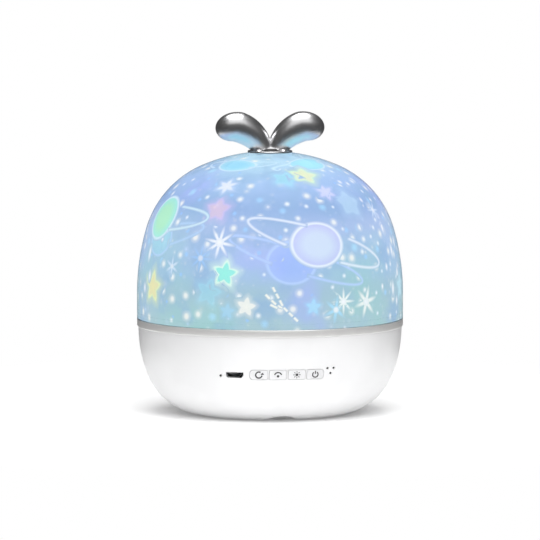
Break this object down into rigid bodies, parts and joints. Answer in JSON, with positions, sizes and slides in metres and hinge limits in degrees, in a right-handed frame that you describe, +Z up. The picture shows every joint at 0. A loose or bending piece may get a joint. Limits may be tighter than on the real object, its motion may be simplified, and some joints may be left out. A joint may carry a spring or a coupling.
{
  "type": "star night light projector",
  "caption": "Bowl-shaped white night light with a silver ring, a glowing printed dome that turns inside a lift-off clear cover, and a chrome two-leaf handle.",
  "frame": {"origin": "on the resting plane, on the film dome's turning axis", "axes": "+Z up, -Y towards the keys and the charging port, +X to the right seen from the keys"},
  "size_m": [0.125, 0.125, 0.1418],
  "materials": {
    "white_shell": "smooth satin-gloss moulded white plastic",
    "white_keys": "smooth satin-gloss moulded white plastic",
    "inner_white": "fine matte moulded white plastic",
    "silver_trim": "satin silver plating",
    "clear_dome": "clear milky polycarbonate, polished",
    "printed_film": "printed translucent film, lit from inside",
    "chrome_plate": "bright chrome plating",
    "steel": "zinc-plated steel",
    "motor_can": "plated sheet steel",
    "gear_plastic": "natural acetal",
    "black_plastic": "black moulded plastic",
    "circuit_board": "green solder mask",
    "lamp_board": "white solder mask",
    "lamp_chip": "light emitter under clear resin",
    "clear_lens": "clear moulded lens",
    "soft_rubber": "soft black rubber",
    "feet_rubber": "grey anti-slip rubber",
    "battery_sleeve": "shrink sleeve",
    "wire_cover": "soft insulation",
    "light_pipe": "clear red light pipe"
  },
  "bodies": {
    "base": {"base_shell": "white_shell", "bottom_cover": "white_shell", "cover_screws": "steel", "rubber_feet": "feet_rubber", "trim_ring": "silver_trim", "deck_plate": "inner_white", "deck_screws": "steel", "gear_motor": "motor_can", "motor_screws": "steel", "lamp_post": "inner_white", "post_screws": "steel", "led_board": "lamp_board", "led_chips": "lamp_chip", "lamp_lens": "clear_lens", "key_switches": "black_plastic", "main_board": "circuit_board", "board_screws": "steel", "control_chips": "black_plastic", "wire_connectors": "inner_white", "usb_socket": "steel", "usb_tongue": "black_plastic", "charge_light": "light_pipe", "microphone": "motor_can", "microphone_boot": "soft_rubber", "battery": "battery_sleeve", "battery_lead": "wire_cover", "motor_lead": "wire_cover", "lamp_lead": "wire_cover"},
    "film": {"turntable": "gear_plastic", "film_dome": "printed_film"},
    "pinion": {"motor_shaft": "steel", "drive_pinion": "gear_plastic"},
    "dome": {"outer_dome": "clear_dome", "leaf_handle": "chrome_plate", "handle_screws": "steel"},
    "rotate_button": {"rotate_key": "white_keys", "rotate_plunger": "black_plastic"},
    "mode_button": {"mode_key": "white_keys", "mode_plunger": "black_plastic"},
    "brightness_button": {"brightness_key": "white_keys", "brightness_plunger": "black_plastic"},
    "power_button": {"power_key": "white_keys", "power_plunger": "black_plastic"}
  },
  "joints": [
    {"name": "dome_lift", "type": "slide", "parent": "base", "child": "dome", "axis": [0, 0, 1], "range_m": [0, 0.09]},
    {"name": "film_spin", "type": "hinge", "parent": "base", "child": "film", "pos_m": [0, 0, 0.0418], "axis": [0, 0, 1], "continuous": true},
    {"name": "pinion_spin", "type": "hinge", "parent": "base", "child": "pinion", "pos_m": [0, -0.0248, 0.0401], "axis": [0, 0, 1], "continuous": true},
    {"name": "rotate_press", "type": "slide", "parent": "base", "child": "rotate_button", "axis": [0, 1, 0], "range_m": [0, 0.0005], "stiffness_N_per_m": 800, "springref_m": -0.0005},
    {"name": "mode_press", "type": "slide", "parent": "base", "child": "mode_button", "axis": [0, 1, 0], "range_m": [0, 0.0005], "stiffness_N_per_m": 800, "springref_m": -0.0005},
    {"name": "brightness_press", "type": "slide", "parent": "base", "child": "brightness_button", "axis": [0, 1, 0], "range_m": [0, 0.0005], "stiffness_N_per_m": 800, "springref_m": -0.0005},
    {"name": "power_press", "type": "slide", "parent": "base", "child": "power_button", "axis": [0, 1, 0], "range_m": [0, 0.0005], "stiffness_N_per_m": 800, "springref_m": -0.0005}
  ],
  "couplings": [
    {"joint": "pinion_spin", "follows": "film_spin", "ratio": -4.1667}
  ]
}
